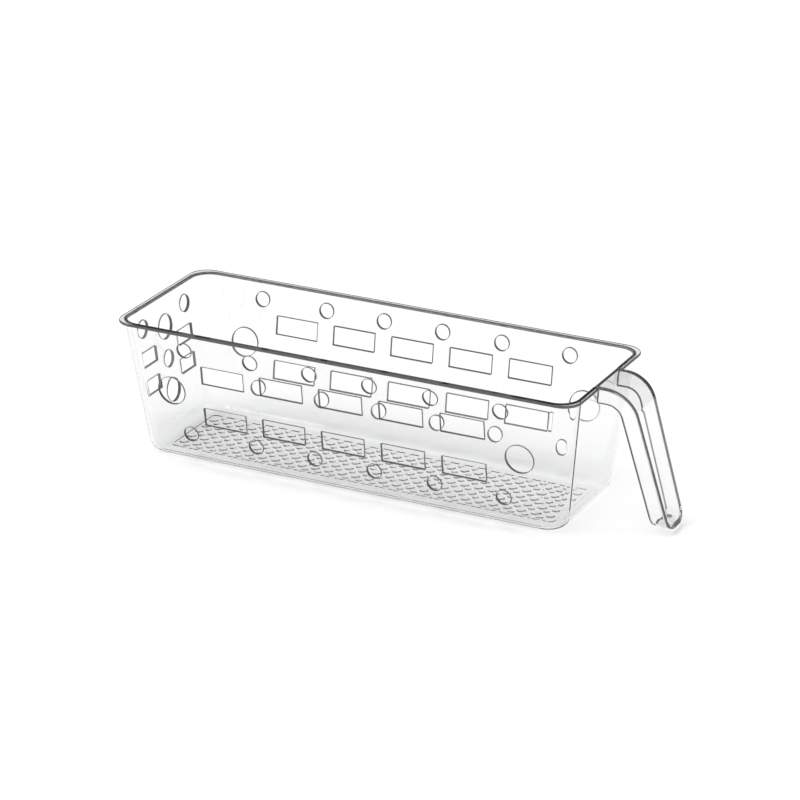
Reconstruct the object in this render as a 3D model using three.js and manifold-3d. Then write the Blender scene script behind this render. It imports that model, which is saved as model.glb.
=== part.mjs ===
// Clear perforated fridge bin with a drop-down pull handle. Millimetres, +Z up.
// X runs along the bin towards the handle, Y across it. The origin is the centre of the underside.
// The bin is one thin drafted shell, modelled as the sub-parts a mould maker would name: a floor pan,
// four walls that each carry their stretch of rim and meet on mitres, and the channel-section handle.
import * as THREE from 'three';
import { mergeVertices } from 'three/addons/utils/BufferGeometryUtils.js';
import Module from 'manifold-3d';

// ---- driving dimensions ----
const HEIGHT = 88.3;
const HALF_LENGTH = 140.4;      // outer half length at the underside
const HALF_WIDTH = 41.1;        // outer half width at the underside
const DRAFT = 0.125;            // how far a wall leans out for each millimetre of height
const WALL = 2;
const CORNER_R = 13.5;          // upright corners, outside
const FOOT_R = 8;               // rounding between the walls and the underside
const LIP_OUT = 1.8;            // how far the rim stands out from the wall
const LIP_DEEP = 1.8;
const LIP_CORNER_R = 12;        // the rim is a little squarer at the corners than the walls
const PAN_TOP = 8;              // height at which the floor pan ends and the walls begin
const GAP = 0.3;                // clearance between neighbouring sub-parts

// Openings in the two long walls, as heights above the underside and distances from mid-length.
const PITCH = 40;
const SLOT = { wide: 28.2, high: 11.4, rows: [33.4, 61.6], perRow: 5 };
const DOT = { r: 4.6, rows: [19.3, 76.3], inner: [0.5, 1.5], outer: 105.1 };
const PORT = { r: 8.9, x: 116.3, z: 47.1 };
// Openings in the plain end wall, as distances from the middle of the wall.
const END_SLOT = { wide: 16.6, high: 9.2, y: 21.5, rows: [37, 55.3] };
const END_DOT = { r: 5.3, places: [[-25.4, 74.4], [25.4, 74.4], [0, 47.1]] };
const END_PORT = { r: 7.5, rows: [26.6, 67.6] };

// The handle leaves the rim level, turns down on an arc and runs straight to its tip.
const GRIP = {
  skin: 2,                      // outer plate
  side: 2,                      // side flanges
  deep: 11.5,                   // depth of the channel section
  halfTop: 16.6,                // half width at the rim
  halfKnee: 14.2,               // half width where the bend ends
  halfTip: 11.4,                // half width level with the underside
  bendR: 21,
  bendX: 156.5,                 // where the level stretch ends
  lean: THREE.MathUtils.degToRad(16.8),
  tipZ: 2.5,                    // lowest point
  tipR: 8,                      // rounding of the tip seen square on
  heelR: 8,                     // rounding of the tip seen from the side
};

const wasm = await Module();
wasm.setup();

// ---- solids ----
function solid(geometry) {
  const bare = geometry.index ? geometry.toNonIndexed() : geometry.clone();
  bare.deleteAttribute('normal');
  bare.deleteAttribute('uv');
  const merged = mergeVertices(bare, 1e-4);
  return new wasm.Manifold(new wasm.Mesh({
    numProp: 3,
    vertProperties: new Float32Array(merged.attributes.position.array),
    triVerts: new Uint32Array(merged.index.array),
  }));
}

function named(name, body, colour) {
  const mesh = body.getMesh();
  const geometry = new THREE.BufferGeometry();
  geometry.setAttribute('position', new THREE.BufferAttribute(mesh.vertProperties, 3));
  geometry.setIndex(new THREE.BufferAttribute(mesh.triVerts, 1));
  geometry.computeVertexNormals();
  const material = new THREE.MeshStandardMaterial({
    color: colour, roughness: 0.08, metalness: 0, transparent: true, opacity: 0.35,
  });
  const part = new THREE.Mesh(geometry, material);
  part.name = name;
  return part;
}

function box(x0, x1, y0, y1, z0, z1) {
  const geometry = new THREE.BoxGeometry(x1 - x0, y1 - y0, z1 - z0);
  geometry.translate((x0 + x1) / 2, (y0 + y1) / 2, (z0 + z1) / 2);
  return solid(geometry);
}

function roundedOutline(halfX, halfY, r) {
  const shape = new THREE.Shape();
  shape.moveTo(halfX, halfY - r);
  shape.absarc(halfX - r, halfY - r, r, 0, Math.PI / 2);
  shape.absarc(r - halfX, halfY - r, r, Math.PI / 2, Math.PI);
  shape.absarc(r - halfX, r - halfY, r, Math.PI, Math.PI * 1.5);
  shape.absarc(halfX - r, r - halfY, r, Math.PI * 1.5, Math.PI * 2);
  return shape;
}

// A drafted block with rounded upright corners and a rounded foot: the shell is one of these
// less a smaller one. inset moves every side in and the foot up.
function draftedBlock(inset, top) {
  const foot = FOOT_R - inset / 2;
  const r = CORNER_R - inset;
  const outline = roundedOutline(HALF_LENGTH - inset, HALF_WIDTH - inset, r);
  const spare = 10;
  const geometry = new THREE.ExtrudeGeometry(outline, {
    depth: top + spare - inset - foot, curveSegments: 6, bevelSegments: 3,
    bevelThickness: foot, bevelSize: foot, bevelOffset: -foot,
  });
  geometry.translate(0, 0, inset + foot);
  const place = geometry.attributes.position;
  for (let i = 0; i < place.count; i += 1) {
    const lean = DRAFT * place.getZ(i);
    place.setX(i, place.getX(i) + Math.sign(place.getX(i)) * lean);
    place.setY(i, place.getY(i) + Math.sign(place.getY(i)) * lean);
  }
  return solid(geometry).intersect(box(-300, 300, -200, 200, -5, top));
}

function lipRing() {
  const out = DRAFT * HEIGHT + LIP_OUT;
  const outline = roundedOutline(HALF_LENGTH + out, HALF_WIDTH + out, LIP_CORNER_R);
  const geometry = new THREE.ExtrudeGeometry(outline, {
    depth: LIP_DEEP, curveSegments: 6, bevelEnabled: false,
  });
  geometry.translate(0, 0, HEIGHT - LIP_DEEP);
  return solid(geometry);
}

// ---- openings ----
function roundCutter(r, x, y, z, alongX) {
  const geometry = new THREE.CylinderGeometry(r, r, 240, r > 6 ? 24 : 16);
  if (alongX) geometry.rotateZ(Math.PI / 2);
  geometry.translate(x, y, z);
  return solid(geometry);
}

function longWallCutters() {
  const cutters = [];
  for (const z of SLOT.rows) {
    for (let i = 0; i < SLOT.perRow; i += 1) {
      const x = (i - (SLOT.perRow - 1) / 2) * PITCH;
      cutters.push(box(x - SLOT.wide / 2, x + SLOT.wide / 2, -120, 120, z - SLOT.high / 2, z + SLOT.high / 2));
    }
  }
  const dots = [...DOT.inner.map((step) => step * PITCH), DOT.outer];
  for (const z of DOT.rows) {
    for (const x of dots) {
      cutters.push(roundCutter(DOT.r, x, 0, z, false), roundCutter(DOT.r, -x, 0, z, false));
    }
  }
  cutters.push(roundCutter(PORT.r, PORT.x, 0, PORT.z, false));
  cutters.push(roundCutter(PORT.r, -PORT.x, 0, PORT.z, false));
  return cutters;
}

function endWallCutters() {
  const middle = -HALF_LENGTH;
  const cutters = [];
  for (const z of END_SLOT.rows) {
    for (const y of [-END_SLOT.y, END_SLOT.y]) {
      cutters.push(box(middle - 60, middle + 60, y - END_SLOT.wide / 2, y + END_SLOT.wide / 2,
        z - END_SLOT.high / 2, z + END_SLOT.high / 2));
    }
  }
  for (const [y, z] of END_DOT.places) cutters.push(roundCutter(END_DOT.r, middle, y, z, true));
  for (const z of END_PORT.rows) cutters.push(roundCutter(END_PORT.r, middle, 0, z, true));
  return cutters;
}

function cutAll(body, cutters) {
  return cutters.reduce((left, cutter) => left.subtract(cutter), body);
}

// ---- regions that part the shell: the mitres run through the upright corners at 45 degrees ----
function prism(points, z0, z1) {
  const shape = new THREE.Shape(points.map(([x, y]) => new THREE.Vector2(x, y)));
  const geometry = new THREE.ExtrudeGeometry(shape, { depth: z1 - z0, bevelEnabled: false });
  geometry.translate(0, 0, z0);
  return solid(geometry);
}

function longRegion(side) {
  const apex = HALF_LENGTH - HALF_WIDTH - GAP / Math.SQRT2;
  const reach = 120;
  const points = [[-apex, 0], [apex, 0], [apex + reach, side * reach], [-apex - reach, side * reach]];
  return prism(side > 0 ? points : points.reverse(), PAN_TOP + GAP, HEIGHT + 5);
}

function endRegion(side) {
  const apex = HALF_LENGTH - HALF_WIDTH + GAP / Math.SQRT2;
  const reach = 120;
  const points = [[side * apex, 0], [side * (apex + reach), side * reach], [side * (apex + reach), -side * reach]];
  return prism(points.reverse(), PAN_TOP + GAP, HEIGHT + 5);
}

// ---- handle ----
const kneeZ = HEIGHT - GRIP.bendR * (1 - Math.sin(GRIP.lean));

// Half the handle's width at a height: it narrows quickly round the bend, then slowly to the tip.
function gripHalf(z) {
  if (z > kneeZ) return GRIP.halfKnee + (GRIP.halfTop - GRIP.halfKnee) * (z - kneeZ) / (HEIGHT - kneeZ);
  return GRIP.halfTip + (GRIP.halfKnee - GRIP.halfTip) * z / kneeZ;
}

// A bar that follows the handle's side view, from near to far below its outer face, with each side
// thinner than the handle's by the amount given.
function gripBar(near, far, thinner, footZ, heelR) {
  const turn = Math.PI / 2 - GRIP.lean;
  const start = HALF_LENGTH + DRAFT * HEIGHT - WALL;
  const pivot = new THREE.Vector2(GRIP.bendX, HEIGHT - GRIP.bendR);
  const along = new THREE.Vector2(Math.sin(GRIP.lean), -Math.cos(GRIP.lean));
  const across = new THREE.Vector2(-Math.cos(GRIP.lean), -Math.sin(GRIP.lean));
  const outerTurn = pivot.clone().addScaledVector(across, -(GRIP.bendR - near));
  const innerTurn = pivot.clone().addScaledVector(across, -(GRIP.bendR - far));
  const run = (outerTurn.y - footZ) / Math.cos(GRIP.lean);
  const tip = outerTurn.clone().addScaledVector(along, run);
  const heel = innerTurn.clone().addScaledVector(along, run - (far - near) * Math.tan(GRIP.lean));
  const shape = new THREE.Shape();
  shape.moveTo(start, HEIGHT - near);
  shape.lineTo(pivot.x, HEIGHT - near);
  shape.absarc(pivot.x, pivot.y, GRIP.bendR - near, Math.PI / 2, Math.PI / 2 - turn, true);
  shape.lineTo(tip.x, tip.y);
  shape.lineTo(heel.x + heelR, heel.y);
  const up = heel.clone().addScaledVector(along, -heelR);
  shape.quadraticCurveTo(heel.x, heel.y, up.x, up.y);
  shape.lineTo(innerTurn.x, innerTurn.y);
  shape.absarc(pivot.x, pivot.y, GRIP.bendR - far, Math.PI / 2 - turn, Math.PI / 2, false);
  shape.lineTo(start, HEIGHT - far);
  const geometry = new THREE.ExtrudeGeometry(shape, { depth: 2, curveSegments: 10, bevelEnabled: false });
  geometry.rotateX(Math.PI / 2);
  geometry.translate(0, 1, 0);
  const place = geometry.attributes.position;
  for (let i = 0; i < place.count; i += 1) {
    place.setY(i, place.getY(i) * (gripHalf(place.getZ(i)) - thinner));
  }
  return solid(geometry);
}

// The handle's outline seen square on: straight sides that narrow towards a rounded tip.
function gripOutline(inset) {
  const r = GRIP.tipR - inset;
  const foot = GRIP.tipZ + inset;
  const half = gripHalf(foot + r) - inset;
  const shape = new THREE.Shape();
  shape.moveTo(-40, HEIGHT + 5);
  shape.lineTo(-40, foot + r);
  shape.lineTo(-half, foot + r);
  shape.absarc(-half + r, foot + r, r, Math.PI, Math.PI * 1.5);
  shape.absarc(half - r, foot + r, r, Math.PI * 1.5, Math.PI * 2);
  shape.lineTo(40, foot + r);
  shape.lineTo(40, HEIGHT + 5);
  const geometry = new THREE.ExtrudeGeometry(shape, { depth: 120, curveSegments: 6, bevelEnabled: false });
  geometry.rotateX(Math.PI / 2);
  geometry.rotateZ(Math.PI / 2);
  geometry.translate(120, 0, 0);
  return solid(geometry);
}

function handleSolid() {
  const bar = gripBar(0, GRIP.deep, 0, GRIP.tipZ, GRIP.heelR);
  const inner = gripBar(GRIP.skin, GRIP.deep + 6, GRIP.side, GRIP.tipZ + GRIP.side, 0.5);
  const channel = inner.intersect(gripOutline(GRIP.side));
  const behindWall = draftedBlock(-GAP, HEIGHT - GRIP.skin);
  return bar.intersect(gripOutline(0)).subtract(channel).subtract(behindWall);
}

// Room for the handle's plate, which lies in the rim and the top of its wall.
function plateNotch() {
  const half = GRIP.halfTop + GAP;
  return box(HALF_LENGTH - 20, HALF_LENGTH + 40, -half, half, HEIGHT - GRIP.skin - GAP, HEIGHT + 5);
}

// ---- assembly ----
const hollow = draftedBlock(WALL, HEIGHT + 5);
const shell = draftedBlock(0, HEIGHT).add(lipRing()).subtract(hollow);
const pierced = cutAll(cutAll(shell, longWallCutters()), endWallCutters());
const panRegion = box(-300, 300, -200, 200, -5, PAN_TOP);

const group = new THREE.Group();
group.add(named('floor_pan', pierced.intersect(panRegion), 0xe6ecee));
group.add(named('front_wall', pierced.intersect(longRegion(-1)), 0xf0f3f4));
group.add(named('back_wall', pierced.intersect(longRegion(1)), 0xf0f3f4));
group.add(named('plain_end_wall', pierced.intersect(endRegion(-1)), 0xf0f3f4));
group.add(named('handle_end_wall', pierced.intersect(endRegion(1)).subtract(plateNotch()), 0xf0f3f4));
group.add(named('handle', handleSolid(), 0xf0f3f4));

export default group;
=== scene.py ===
# %% [markdown]
# # A clear fridge bin
# The real bin is one thin injection moulding in clear plastic: a drafted box with a rolled lip, rows
# of vents, a studded floor and a channel-section handle that drops from one end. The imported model
# gives the frame that everything here is built around, and its box is noted before anything is made.

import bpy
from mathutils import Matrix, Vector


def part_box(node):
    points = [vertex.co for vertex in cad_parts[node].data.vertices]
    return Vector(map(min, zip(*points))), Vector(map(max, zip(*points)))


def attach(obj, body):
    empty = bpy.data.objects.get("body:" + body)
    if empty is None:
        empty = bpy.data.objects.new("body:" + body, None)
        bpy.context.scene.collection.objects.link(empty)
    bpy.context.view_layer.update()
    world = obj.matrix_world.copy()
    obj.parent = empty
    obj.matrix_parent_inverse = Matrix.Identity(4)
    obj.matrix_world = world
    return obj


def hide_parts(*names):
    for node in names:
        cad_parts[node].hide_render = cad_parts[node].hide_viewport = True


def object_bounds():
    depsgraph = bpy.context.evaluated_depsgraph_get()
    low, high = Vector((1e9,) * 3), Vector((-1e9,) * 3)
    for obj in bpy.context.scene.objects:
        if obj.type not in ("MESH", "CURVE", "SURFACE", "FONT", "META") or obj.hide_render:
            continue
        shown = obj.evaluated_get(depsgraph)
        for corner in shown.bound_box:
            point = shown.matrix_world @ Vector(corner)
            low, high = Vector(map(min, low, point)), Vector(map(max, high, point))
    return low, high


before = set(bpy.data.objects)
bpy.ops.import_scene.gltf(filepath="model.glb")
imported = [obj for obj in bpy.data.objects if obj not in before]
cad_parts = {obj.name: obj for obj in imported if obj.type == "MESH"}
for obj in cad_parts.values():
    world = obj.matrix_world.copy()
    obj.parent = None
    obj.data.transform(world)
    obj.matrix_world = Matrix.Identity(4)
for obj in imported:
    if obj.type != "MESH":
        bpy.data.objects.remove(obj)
cad_box = [list(corner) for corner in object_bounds()]
print("frame holds", sorted(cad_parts), "inside", cad_box)

# %% [markdown]
# # Measures
# A wall that leans out by a fixed amount per millimetre is said to have draft, and lets the moulding
# leave its tool. The box of each CAD part gives the height and the size of the foot, and the rest are
# the few measures a mould maker would be given. All shaping is done in millimetres and brought to
# metres once, because Blender's tools are at their most exact on numbers of about that size.

# %% Measures of the shell
import math

import bmesh
import bpy
from mathutils import Matrix, Vector

MM = 0.001                       # one millimetre in metres
HAIR = 0.01                      # a tolerance for finding edges
DRAFT = 0.125
WALL = 2.0
CORNER_R = 13.5
FOOT_R = 8.0
LIP_CORNER_R = 12.0
LIP_OUT = 1.8
LIP_DEEP = 1.8
LIP_NOSE = 0.81                  # rounding of the lip's outer edges

pan_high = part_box("floor_pan")[1] / MM
wall_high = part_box("front_wall")[1] / MM
HEIGHT = wall_high.z
HALF_LENGTH = pan_high.x - DRAFT * pan_high.z
HALF_WIDTH = pan_high.y - DRAFT * pan_high.z
RIM_X = HALF_LENGTH + DRAFT * HEIGHT
RIM_Y = HALF_WIDTH + DRAFT * HEIGHT
print(f"shell {HALF_LENGTH:.1f} x {HALF_WIDTH:.1f} half sizes at the foot, {HEIGHT:.1f} high")

# %% Measures of the openings
PITCH = 40.0
SLOT = {"wide": 28.2, "high": 11.5, "rows": (33.4, 61.6), "steps": (-2, -1, 0, 1, 2)}
DOT = {"r": 4.6, "rows": (19.3, 76.3), "places": (20.0, 60.0, 105.1)}
PORT = {"r": 8.9, "x": 116.3, "z": 47.1}
END_SLOT = {"wide": 16.6, "high": 9.2, "y": 21.5, "rows": (37.0, 55.3)}
END_DOT = {"r": 5.3, "places": ((-25.4, 74.4), (25.4, 74.4), (0.0, 47.1))}
END_PORT = {"r": 7.5, "rows": (26.6, 67.6)}
print("vents in rows at", SLOT["rows"], "and", DOT["rows"])

# %% Measures of the handle
GRIP = {
    "skin": 2.0, "side": 2.0, "deep": 11.5, "half_top": 16.6, "half_knee": 14.2, "half_tip": 11.4,
    "bend_r": 21.0, "bend_x": 156.5, "lean": math.radians(16.8), "tip_z": 2.5, "tip_r": 8.0,
    "heel_r": 6.0,
}
KNEE_Z = HEIGHT - GRIP["bend_r"] * (1 - math.sin(GRIP["lean"]))
print(f"handle bends down to {KNEE_Z:.1f} and then runs straight")

# %% [markdown]
# # Camera
# A long lens keeps the bin's edges almost parallel. The camera aims at a point near the middle of the
# whole object, found from its box, and is turned a hair about its own axis.

# %% Camera
AZIMUTH = math.radians(26.425)
ELEVATION = math.radians(22.242)
ROLL = math.radians(0.286)
DISTANCE = 2.1108
LENS = 157.4

low, high = (Vector(corner) for corner in cad_box)
aim = (low + high) / 2 + Vector((-6.8, 0, 4.45)) * MM
towards = Vector((math.sin(AZIMUTH) * math.cos(ELEVATION),
                  -math.cos(AZIMUTH) * math.cos(ELEVATION), math.sin(ELEVATION)))
eye = bpy.data.cameras.new("camera")
eye.lens = LENS
eye.sensor_width = 36
eye.clip_end = 50
camera = bpy.data.objects.new("camera", eye)
bpy.context.scene.collection.objects.link(camera)
turn = towards.to_track_quat("Z", "Y").to_matrix().to_4x4() @ Matrix.Rotation(ROLL, 4, "Z")
camera.matrix_world = Matrix.Translation(aim + towards * DISTANCE) @ turn
bpy.context.scene.camera = camera
print("camera at", [round(c, 4) for c in camera.matrix_world.translation])

# %% [markdown]
# # Shaping helpers
# Each solid starts from a bmesh operator. A solid that is cut by another uses a Boolean modifier with
# the exact solver, which is then turned into plain faces, so that the finished piece has no modifiers.
# Most solids have two material slots, one for clear faces and one for edges, whose darker material
# paints shade, and a cut keeps them.

# %% Helpers for solids
def keep(name, bm):
    """Store a finished bmesh as an object in the scene."""
    bmesh.ops.recalc_face_normals(bm, faces=bm.faces[:])
    mesh = bpy.data.meshes.new(name)
    bm.to_mesh(mesh)
    bm.free()
    piece = bpy.data.objects.new(name, mesh)
    bpy.context.scene.collection.objects.link(piece)
    return piece


def settle(piece):
    """Turn a piece's modifiers into plain faces."""
    graph = bpy.context.evaluated_depsgraph_get()
    graph.update()
    done = bpy.data.meshes.new_from_object(piece.evaluated_get(graph), preserve_all_data_layers=True,
                                           depsgraph=graph)
    old = piece.data
    piece.modifiers.clear()
    piece.data = done
    bpy.data.meshes.remove(old)
    done.name = piece.name


def combine(piece, tool, how):
    """Join a piece with a tool, or cut or trim it by the tool, and drop the tool."""
    step = piece.modifiers.new(how.lower(), "BOOLEAN")
    step.operation = how
    step.solver = "EXACT"
    step.object = tool
    settle(piece)
    spent = tool.data
    bpy.data.objects.remove(tool)
    bpy.data.meshes.remove(spent)


def round_edges(bm, edges, radius, segments):
    bmesh.ops.bevel(bm, geom=edges, offset=radius, offset_type="OFFSET", segments=segments, profile=0.5,
                    affect="EDGES", material=-1, clamp_overlap=False)


def upright(edge):
    return abs(edge.verts[0].co.z - edge.verts[1].co.z) > HAIR


def level_at(edge, z):
    return all(abs(v.co.z - z) < HAIR for v in edge.verts)


def clear_and_shaded_edge_slots(piece, is_edge):
    """Give a piece a slot for clear faces and one for edges with painted shade, and mark the edge faces."""
    for name in ("face", "edge"):
        piece.data.materials.append(bpy.data.materials.get(name) or bpy.data.materials.new(name))
    for polygon in piece.data.polygons:
        polygon.material_index = 1 if is_edge(polygon) else 0
    return piece


print("helpers ready")


# %% [markdown]
# # The shell
# The shell is one drafted block less a smaller one, the way the two halves of its tool make it. Each
# block is a cube whose top is wider than its foot, with its upright corners bevelled first and the
# foot after them. The lip is a thin slab with a bull-nosed edge, joined on before the inside is cut.

# %% Blocks of the shell
def drafted_block(name, inset, top, corner_steps=12, foot_steps=8):
    """A box that widens upwards, with round upright corners and a round foot."""
    bm = bmesh.new()
    bmesh.ops.create_cube(bm, size=2)
    for v in bm.verts:
        z = top if v.co.z > 0 else inset
        reach = DRAFT * z - inset
        v.co = (v.co.x * (HALF_LENGTH + reach), v.co.y * (HALF_WIDTH + reach), z)
    round_edges(bm, [e for e in bm.edges if upright(e)], CORNER_R - inset, corner_steps)
    round_edges(bm, [e for e in bm.edges if level_at(e, inset)], FOOT_R - inset, foot_steps)
    return keep(name, bm)


def lip_slab(name):
    """The lip as a full slab, whose middle goes when the inside of the bin is cut."""
    bm = bmesh.new()
    bmesh.ops.create_cube(bm, size=2)
    for v in bm.verts:
        z = HEIGHT if v.co.z > 0 else HEIGHT - LIP_DEEP
        v.co = (v.co.x * (RIM_X + LIP_OUT), v.co.y * (RIM_Y + LIP_OUT), z)
    round_edges(bm, [e for e in bm.edges if upright(e)], LIP_CORNER_R, 12)
    round_edges(bm, [e for e in bm.edges if not upright(e)], LIP_NOSE, 5)
    return keep(name, bm)


basket = clear_and_shaded_edge_slots(drafted_block("basket", 0.0, HEIGHT - LIP_DEEP / 2), lambda face: False)
# The lip's side and nose faces take the darker edge material, painted shade along the lip.
combine(basket, clear_and_shaded_edge_slots(lip_slab("lip"), lambda face: abs(face.normal.z) < 0.9), "UNION")
print("outside of the shell has", len(basket.data.polygons), "faces")

# %% [markdown]
# # Studded floor
# Low round studs stand on the floor inside a raised border bead, so that wet goods don't stick to it.
# They come from pockets in the tool for the inside, so the pockets are cut into that tool first: wide
# studs on a square grid, smaller ones between them, and a frame. Their sides slope as moulded ones must.

# %% Tool for the inside
STUD = {"high": 0.9, "pitch_x": 9.2, "pitch_y": 9.25, "wide_r": 2.9, "small_r": 2.1}
BEAD = {"high": 0.5, "half_x": 129.9, "half_y": 27.1, "wide": 1.6, "corner_r": 4.0}
SLOPE = 0.3                      # how far a stud's side leans in for each millimetre of height


def stud_pockets():
    bm = bmesh.new()
    low, high = WALL - 0.5, WALL + STUD["high"]
    wide = [((i + 0.5) * STUD["pitch_x"], j * STUD["pitch_y"], STUD["wide_r"])
            for i in range(-14, 14) for j in range(-2, 3)]
    small = [(i * STUD["pitch_x"], (j + 0.5) * STUD["pitch_y"], STUD["small_r"])
             for i in range(-13, 14) for j in range(-3, 3)]
    for x, y, r in wide + small:
        bmesh.ops.create_cone(bm, cap_ends=True, segments=20, radius1=r + SLOPE * (high - low), radius2=r,
                              depth=high - low, matrix=Matrix.Translation((x, y, (low + high) / 2)))
    return clear_and_shaded_edge_slots(keep("stud pockets", bm), lambda face: False)


def tapered_block(name, inset, lean, high):
    """A block with rounded corners across the floor's surface, inset from the bead's outside."""
    bm = bmesh.new()
    bmesh.ops.create_cube(bm, size=2)
    for v in bm.verts:
        z = high if v.co.z > 0 else 2 * WALL - high
        reach = lean * (z - WALL) - inset
        v.co = (v.co.x * (BEAD["half_x"] + reach), v.co.y * (BEAD["half_y"] + reach), z)
    round_edges(bm, [e for e in bm.edges if upright(e)], BEAD["corner_r"] - inset, 6)
    return keep(name, bm)


inside = clear_and_shaded_edge_slots(drafted_block("inside", WALL, HEIGHT + 5), lambda face: False)
frame_pocket = tapered_block("frame pocket", 0.0, -SLOPE, WALL + BEAD["high"])
frame_middle = tapered_block("frame middle", BEAD["wide"], SLOPE, WALL + 2 * BEAD["high"])
combine(frame_pocket, frame_middle, "DIFFERENCE")
combine(inside, frame_pocket, "DIFFERENCE")
combine(inside, stud_pockets(), "DIFFERENCE")
combine(basket, inside, "DIFFERENCE")
print("shell has", len(basket.data.polygons), "faces")

# %% [markdown]
# # Vents
# Pins and blades in the tool leave the openings: ten slots, twelve small holes and two large ones in
# each long wall, and a smaller set in the end wall without the handle. One mesh holds all the cutters
# for a direction. They run level, so the sides of a vent aren't quite square to its leaning wall.

# %% Cut the vents
def add_block(bm, low_corner, high_corner):
    low_corner, high_corner = Vector(low_corner), Vector(high_corner)
    size = Matrix.Diagonal((high_corner - low_corner).to_4d())
    size[3][3] = 1
    place = Matrix.Translation((low_corner + high_corner) / 2)
    bmesh.ops.create_cube(bm, size=1, matrix=place @ size)


def add_pin(bm, radius, centre, length, axis, segments=40):
    turned = Matrix.Rotation(math.pi / 2, 4, "Y" if axis == "X" else "X")
    bmesh.ops.create_cone(bm, cap_ends=True, segments=segments, radius1=radius, radius2=radius,
                          depth=length, matrix=Matrix.Translation(centre) @ turned)


def long_wall_cutters():
    bm = bmesh.new()
    reach = RIM_Y + 10
    for z in SLOT["rows"]:
        for step in SLOT["steps"]:
            x = step * PITCH
            add_block(bm, (x - SLOT["wide"] / 2, -reach, z - SLOT["high"] / 2),
                      (x + SLOT["wide"] / 2, reach, z + SLOT["high"] / 2))
    for side in (-1, 1):
        for z in DOT["rows"]:
            for x in DOT["places"]:
                add_pin(bm, DOT["r"], (side * x, 0, z), 2 * reach, "Y")
        add_pin(bm, PORT["r"], (side * PORT["x"], 0, PORT["z"]), 2 * reach, "Y", 56)
    return clear_and_shaded_edge_slots(keep("long wall cutters", bm), lambda face: True)


def end_wall_cutters():
    bm = bmesh.new()
    near, far = -RIM_X - 10, -HALF_LENGTH + 25
    middle = (near + far) / 2
    for z in END_SLOT["rows"]:
        for y in (-END_SLOT["y"], END_SLOT["y"]):
            add_block(bm, (near, y - END_SLOT["wide"] / 2, z - END_SLOT["high"] / 2),
                      (far, y + END_SLOT["wide"] / 2, z + END_SLOT["high"] / 2))
    for y, z in END_DOT["places"]:
        add_pin(bm, END_DOT["r"], (middle, y, z), far - near, "X")
    for z in END_PORT["rows"]:
        add_pin(bm, END_PORT["r"], (middle, 0, z), far - near, "X", 48)
    return clear_and_shaded_edge_slots(keep("end wall cutters", bm), lambda face: True)


# Every face a cutter leaves in the shell takes the darker edge material, so the vent sides carry painted
# shade.
combine(basket, long_wall_cutters(), "DIFFERENCE")
combine(basket, end_wall_cutters(), "DIFFERENCE")
print("vented shell has", len(basket.data.polygons), "faces")

# %% [markdown]
# # Handle
# Seen from the side, the handle's face leaves the rim level, turns down and runs straight. That line
# is drawn with extrude and spin, widened to a strip, and given its depth with solidify. Its width
# follows the height, its tip and heel are rounded, and a smaller bar with rounded edges along its face
# hollows it to a channel.

# %% Bars of the handle
def half_width(z):
    """Half the handle's width: it narrows quickly round the bend, then slowly to the tip."""
    if z > KNEE_Z:
        share = (z - KNEE_Z) / (HEIGHT - KNEE_Z)
        return GRIP["half_knee"] + (GRIP["half_top"] - GRIP["half_knee"]) * share
    return GRIP["half_tip"] + (GRIP["half_knee"] - GRIP["half_tip"]) * z / KNEE_Z


def depth_at(co):
    """How far a point lies below the handle's face, measured square to it."""
    over, up = co.x - GRIP["bend_x"], co.z - HEIGHT + GRIP["bend_r"]
    if over <= 0:
        return HEIGHT - co.z
    if math.atan2(over, up) < math.pi / 2 - GRIP["lean"]:
        return GRIP["bend_r"] - math.hypot(over, up)
    return GRIP["bend_r"] - over * math.cos(GRIP["lean"]) - up * math.sin(GRIP["lean"])


def only(kind, geom):
    return [g for g in geom if isinstance(g, kind)]


def go(bm, start, step):
    """Draw a straight edge from a vertex."""
    made = bmesh.ops.extrude_vert_indiv(bm, verts=[start])["verts"][0]
    made.co = start.co + Vector(step)
    return made


def face_strip(near):
    """The handle's face, near millimetres down, as a strip two millimetres wide."""
    bm = bmesh.new()
    corner = bmesh.ops.create_vert(bm, co=(RIM_X - WALL, -1, HEIGHT - near))["vert"][0]
    bend = go(bm, corner, (GRIP["bend_x"] - RIM_X + WALL, 0, 0))
    pivot = (GRIP["bend_x"], -1, HEIGHT - GRIP["bend_r"])
    arc = bmesh.ops.spin(bm, geom=[bend], cent=pivot, axis=(0, 1, 0), dvec=(0, 0, 0),
                         angle=math.pi / 2 - GRIP["lean"], steps=20, use_duplicate=False)
    knee = only(bmesh.types.BMVert, arc["geom_last"])[0]
    down = Vector((math.sin(GRIP["lean"]), 0, -math.cos(GRIP["lean"])))
    go(bm, knee, down * (knee.co.z + 12) / math.cos(GRIP["lean"]))
    wide = bmesh.ops.extrude_edge_only(bm, edges=bm.edges[:])
    bmesh.ops.translate(bm, verts=only(bmesh.types.BMVert, wide["geom"]), vec=(0, 2, 0))
    bmesh.ops.recalc_face_normals(bm, faces=bm.faces[:])
    if bm.faces[0].normal.z < 0:
        bmesh.ops.reverse_faces(bm, faces=bm.faces[:])
    return bm


def bar(name, near, far, thinner, foot_z, heel_r):
    """A bar along the handle's side view, from near to far below its face, cut off level."""
    bm = face_strip(near)
    bmesh.ops.solidify(bm, geom=bm.faces[:], thickness=far - near)
    for v in bm.verts:
        v.co.y *= half_width(v.co.z) - thinner
    bmesh.ops.bisect_plane(bm, geom=bm.verts[:] + bm.edges[:] + bm.faces[:], plane_co=(0, 0, foot_z),
                           plane_no=(0, 0, -1), clear_outer=True)
    bmesh.ops.holes_fill(bm, edges=[e for e in bm.edges if e.is_boundary])
    foot = [e for e in bm.edges if level_at(e, foot_z)]
    back_x = min(v.co.x for e in foot for v in e.verts) + HAIR
    round_edges(bm, [e for e in foot if all(v.co.x < back_x for v in e.verts)], heel_r, 10)
    return keep(name, bm)


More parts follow.
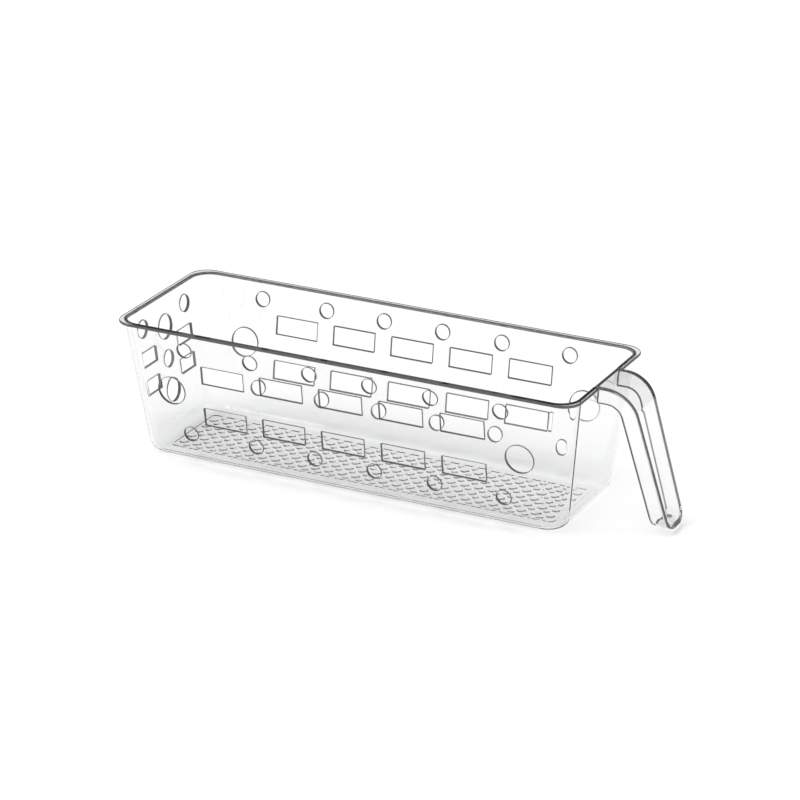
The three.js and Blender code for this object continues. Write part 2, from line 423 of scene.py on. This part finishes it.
def tip_pocket(thinner, foot_z, tip_r):
    """A block with a pocket that has the tip's outline, to trim a bar's two lower corners."""
    bm = bmesh.new()
    top = foot_z + tip_r + 4
    add_block(bm, (140, -40, foot_z - 20), (240, 40, top))
    lid = [f for f in bm.faces if f.normal.z > 0.9]
    bmesh.ops.inset_region(bm, faces=lid, thickness=8)
    sunk = bmesh.ops.extrude_face_region(bm, geom=lid)
    bmesh.ops.delete(bm, geom=lid, context="FACES")
    for v in only(bmesh.types.BMVert, sunk["geom"]):
        v.co.z = foot_z + HAIR
    inner = [v for v in bm.verts if abs(v.co.y) < 35]
    for v in inner:
        v.co.y = math.copysign(half_width(v.co.z) - thinner + 2 * HAIR, v.co.y)
    corners = [e for e in bm.edges if level_at(e, foot_z + HAIR)
               and abs(e.verts[0].co.y - e.verts[1].co.y) < 1]
    round_edges(bm, corners, tip_r, 10)
    return keep("tip pocket", bm)


def round_face(piece, near, radius, segments):
    """Round the edges all along a bar's face."""
    bm = bmesh.new()
    bm.from_mesh(piece.data)

    def on_face(f):
        return all(abs(depth_at(v.co) - near) < HAIR for v in f.verts)

    rim = [e for e in bm.edges if len(e.link_faces) == 2
           and on_face(e.link_faces[0]) != on_face(e.link_faces[1])]
    rim = [e for e in rim if any(v.co.x > RIM_X - WALL + HAIR for v in e.verts)]
    round_edges(bm, rim, radius, segments)
    bm.to_mesh(piece.data)
    bm.free()
    print(piece.name, "has", len(rim), "face edges rounded to", radius)


# %% Hollow the handle
pull_handle = bar("pull_handle", 0.0, GRIP["deep"], 0.0, GRIP["tip_z"], GRIP["heel_r"])
clear_and_shaded_edge_slots(pull_handle, lambda face: False)
combine(pull_handle, tip_pocket(0.0, GRIP["tip_z"], GRIP["tip_r"]), "DIFFERENCE")

channel_foot = GRIP["tip_z"] + GRIP["side"]
channel = bar("channel", GRIP["skin"], GRIP["deep"] + 6, GRIP["side"], channel_foot, 0.5)
combine(channel, tip_pocket(GRIP["side"], channel_foot, GRIP["tip_r"] - GRIP["side"]), "DIFFERENCE")
round_face(channel, GRIP["skin"], 1.0, 4)
combine(pull_handle, channel, "DIFFERENCE")

CLEAR = 0.06                     # clearance where the handle meets the bin
combine(pull_handle, drafted_block("wall behind", -CLEAR, HEIGHT - GRIP["skin"]), "DIFFERENCE")


def notch_tool():
    bm = bmesh.new()
    half = GRIP["half_top"] + CLEAR
    add_block(bm, (RIM_X - 20, -half, HEIGHT - GRIP["skin"] - CLEAR), (RIM_X + 20, half, HEIGHT + 5))
    return keep("notch", bm)


combine(basket, notch_tool(), "DIFFERENCE")
print("handle has", len(pull_handle.data.polygons), "faces")

# %% [markdown]
# # Finish of the edges
# A polished tool still leaves every edge with a small radius, and in clear plastic that radius is what
# draws the dark and bright lines round the vents. A Bevel modifier adds it, gives its faces the darker
# edge material that paints shade on them, and hardens the normals; a Weighted Normal modifier keeps
# the walls optically flat, and both are turned into plain faces.

# %% Soften and place the pieces
def soften(piece, width, segments):
    for polygon in piece.data.polygons:
        polygon.use_smooth = True
    edge = piece.modifiers.new("small radius", "BEVEL")
    edge.width = width
    edge.segments = segments
    edge.limit_method = "ANGLE"
    edge.angle_limit = math.radians(78)
    # The rounding faces take slot 1, the darker material that paints shade along edges.
    edge.material = 1
    edge.use_clamp_overlap = False
    edge.harden_normals = True
    flat = piece.modifiers.new("flat walls", "WEIGHTED_NORMAL")
    flat.weight = 100
    flat.keep_sharp = True
    settle(piece)
    piece.data.transform(Matrix.Scale(MM, 4))
    print(piece.name, "finished with", len(piece.data.polygons), "faces")


soften(basket, 0.4, 3)
soften(pull_handle, 0.9, 4)

# %% [markdown]
# # Clear plastic
# Clear moulded plastic bends light by about 1.5 and takes a little of it away. Its faces are not
# perfect: the melt leaves faint flow waves and handling leaves a fine haze, so a node group turns the
# Object coordinates into a roughness and a very low height, which each material places by itself. The
# edges get a darker, half-clear material of their own: painted shade that stands in for the dark lines
# that bent light draws along them.

# %% Shader group for a moulded surface
def link(tree, source, target):
    tree.links.new(source, target)


def moulded_surface():
    """A group that gives the haze and the flow waves of a moulded surface."""
    group = bpy.data.node_groups.new("moulded surface", "ShaderNodeTree")
    face = group.interface
    face.new_socket("Wave scale", in_out="INPUT", socket_type="NodeSocketFloat").default_value = 20
    face.new_socket("Clear roughness", in_out="INPUT", socket_type="NodeSocketFloat").default_value = 0.0
    face.new_socket("Hazy roughness", in_out="INPUT", socket_type="NodeSocketFloat").default_value = 0.05
    face.new_socket("Shade", in_out="INPUT", socket_type="NodeSocketFloat").default_value = 1.0
    face.new_socket("Roughness", in_out="OUTPUT", socket_type="NodeSocketFloat")
    face.new_socket("Height", in_out="OUTPUT", socket_type="NodeSocketFloat")
    face.new_socket("Tint", in_out="OUTPUT", socket_type="NodeSocketColor")
    nodes = group.nodes
    given = nodes.new("NodeGroupInput")
    out = nodes.new("NodeGroupOutput")
    place = nodes.new("ShaderNodeTexCoord")
    wave = nodes.new("ShaderNodeTexNoise")
    wave.inputs["Detail"].default_value = 2
    haze = nodes.new("ShaderNodeTexNoise")
    haze.inputs["Scale"].default_value = 90
    haze.inputs["Detail"].default_value = 6
    spread = nodes.new("ShaderNodeMapRange")
    spread.inputs["From Min"].default_value = 0.45
    spread.inputs["From Max"].default_value = 0.75
    tint = nodes.new("ShaderNodeMix")
    tint.data_type = "RGBA"
    tint.inputs[6].default_value = (0.98, 0.982, 0.984, 1)
    tint.inputs[7].default_value = (0.99, 0.991, 0.992, 1)
    shaded = nodes.new("ShaderNodeMix")
    shaded.data_type = "RGBA"
    shaded.blend_type = "MULTIPLY"
    shaded.inputs[0].default_value = 1
    link(group, place.outputs["Object"], wave.inputs["Vector"])
    link(group, place.outputs["Object"], haze.inputs["Vector"])
    link(group, given.outputs["Wave scale"], wave.inputs["Scale"])
    link(group, haze.outputs["Fac"], spread.inputs["Value"])
    link(group, given.outputs["Clear roughness"], spread.inputs["To Min"])
    link(group, given.outputs["Hazy roughness"], spread.inputs["To Max"])
    link(group, spread.outputs["Result"], out.inputs["Roughness"])
    link(group, wave.outputs["Fac"], out.inputs["Height"])
    link(group, wave.outputs["Fac"], tint.inputs[0])
    link(group, tint.outputs[2], shaded.inputs[6])
    link(group, given.outputs["Shade"], shaded.inputs[7])
    link(group, shaded.outputs[2], out.inputs["Tint"])
    return group


SURFACE = moulded_surface()
print("group", SURFACE.name, "has", len(SURFACE.nodes), "nodes")


# %% Clear plastic material
def clear_plastic(name, wave_scale, hazy, bump, shade, see_through):
    """Clear plastic that lets light from the lamps through, so that its shadow stays pale."""
    material = bpy.data.materials.new(name)
    material.use_nodes = True
    tree = material.node_tree
    nodes = tree.nodes
    nodes.clear()
    surface = nodes.new("ShaderNodeGroup")
    surface.node_tree = SURFACE
    surface.inputs["Wave scale"].default_value = wave_scale
    surface.inputs["Clear roughness"].default_value = 0.0
    surface.inputs["Hazy roughness"].default_value = hazy
    surface.inputs["Shade"].default_value = shade
    plastic = nodes.new("ShaderNodeBsdfPrincipled")
    plastic.inputs["Transmission Weight"].default_value = see_through
    plastic.inputs["Metallic"].default_value = 0.0
    plastic.inputs["IOR"].default_value = 1.5
    relief = nodes.new("ShaderNodeBump")
    relief.inputs["Strength"].default_value = bump
    relief.inputs["Distance"].default_value = 0.0002
    passing = nodes.new("ShaderNodeBsdfTransparent")
    passing.inputs["Color"].default_value = (1, 1, 1, 1)
    depth = nodes.new("ShaderNodeVolumeAbsorption")
    depth.inputs["Color"].default_value = (0.5, 0.52, 0.53, 1)
    depth.inputs["Density"].default_value = 28.0
    path = nodes.new("ShaderNodeLightPath")
    either = nodes.new("ShaderNodeMath")
    either.operation = "MAXIMUM"
    choice = nodes.new("ShaderNodeMixShader")
    out = nodes.new("ShaderNodeOutputMaterial")
    link(tree, surface.outputs["Tint"], plastic.inputs["Base Color"])
    link(tree, surface.outputs["Roughness"], plastic.inputs["Roughness"])
    link(tree, surface.outputs["Height"], relief.inputs["Height"])
    link(tree, relief.outputs["Normal"], plastic.inputs["Normal"])
    link(tree, path.outputs["Is Shadow Ray"], either.inputs[0])
    link(tree, path.outputs["Is Diffuse Ray"], either.inputs[1])
    link(tree, either.outputs["Value"], choice.inputs[0])
    link(tree, plastic.outputs["BSDF"], choice.inputs[1])
    link(tree, passing.outputs["BSDF"], choice.inputs[2])
    link(tree, choice.outputs["Shader"], out.inputs["Surface"])
    link(tree, depth.outputs["Volume"], out.inputs["Volume"])
    return material


FACE = {"hazy": 0.03, "bump": 0.04, "shade": 1.0, "see_through": 1.0}
# The edge material is darkened to 0.22 and only half clear: painted shade for the dark lines along edges.
PAINTED_SHADE_EDGE = {"hazy": 0.2, "bump": 0.04, "shade": 0.22, "see_through": 0.5}
for piece, waves in ((basket, 14), (pull_handle, 30)):
    piece.data.materials[0] = clear_plastic(f"clear plastic of the {piece.name}", waves, **FACE)
    piece.data.materials[1] = clear_plastic(f"clear plastic, edges of the {piece.name}", waves, **PAINTED_SHADE_EDGE)
for name in ("face", "edge"):
    bpy.data.materials.remove(bpy.data.materials[name])
print("materials", [m.name for m in bpy.data.materials if m.name.startswith("clear plastic")])

# %% [markdown]
# # Studio
# Clear plastic shows only what surrounds it. The floor is a broad pale sheet, lit evenly by a wide
# sun, and the space above it is a dark grey, so edges that bend the view upwards turn dark while flat
# walls stay almost white. Two soft boxes give the long highlights on the lip and the handle. The sun
# itself stays out of reflections, where it would draw a white band along the foot of the far wall.

# %% Floor
FLOOR_REACH = 15
FLOOR_DROP = 0.0002
bm = bmesh.new()
bmesh.ops.create_grid(bm, x_segments=1, y_segments=1, size=FLOOR_REACH)
bmesh.ops.translate(bm, verts=bm.verts[:], vec=(0, 0, -FLOOR_DROP))
floor = keep("studio_floor", bm)
paint = bpy.data.materials.new("pale floor")
paint.use_nodes = True
paint.node_tree.nodes["Principled BSDF"].inputs["Base Color"].default_value = (0.9, 0.9, 0.9, 1)
paint.node_tree.nodes["Principled BSDF"].inputs["Roughness"].default_value = 1.0
paint.node_tree.nodes["Principled BSDF"].inputs["Specular IOR Level"].default_value = 0.0
floor.data.materials.append(paint)
print("floor is", 2 * FLOOR_REACH, "metres across")


# %% Light
def lamp(name, kind, energy, place, size=None, spread=None):
    light = bpy.data.lights.new(name, kind)
    light.energy = energy
    if size:
        light.shape = "RECTANGLE"
        light.size, light.size_y = size
    if spread:
        light.angle = spread
    holder = bpy.data.objects.new(name, light)
    bpy.context.scene.collection.objects.link(holder)
    holder.location = place
    holder.rotation_euler = (Vector(place) - aim).to_track_quat("Z", "Y").to_euler()
    return holder


sun = lamp("wide sun", "SUN", 2.9, (-0.6, -0.8, 3.0), spread=math.radians(50))
sun.visible_glossy = False
sun.visible_transmission = False
lamp("left soft box", "AREA", 6, (-1.6, -0.9, 1.5), size=(0.7, 1.2))
lamp("right soft box", "AREA", 5, (1.7, 0.4, 1.3), size=(0.5, 1.2))
world = bpy.data.worlds.new("studio")
bpy.context.scene.world = world
world.use_nodes = True
world.node_tree.nodes["Background"].inputs["Color"].default_value = (0.2, 0.2, 0.2, 1)
world.node_tree.nodes["Background"].inputs["Strength"].default_value = 1.0

# %% [markdown]
# # Render settings
# Light crosses a dozen faces on its way through the two walls, so the number of bounces is raised. The
# plain Standard view keeps the floor white.

# %% Bounces and view
cycles = bpy.context.scene.cycles
cycles.max_bounces = 9
cycles.transmission_bounces = 9
cycles.glossy_bounces = 16
cycles.transparent_max_bounces = 32
cycles.diffuse_bounces = 3
cycles.caustics_reflective = False
cycles.caustics_refractive = False
bpy.context.scene.view_settings.view_transform = "Standard"
print("up to", cycles.max_bounces, "bounces")

# %% [markdown]
# # Bodies
# Both pieces ride on the one body, and the CAD parts they show are hidden.

# %% Bodies, hidden parts and sizes
for piece, nodes in ((basket, ("floor_pan", "front_wall", "back_wall", "plain_end_wall", "handle_end_wall")),
                     (pull_handle, ("handle",))):
    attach(piece, "root")
    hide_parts(*nodes)

print("CAD box", cad_box)
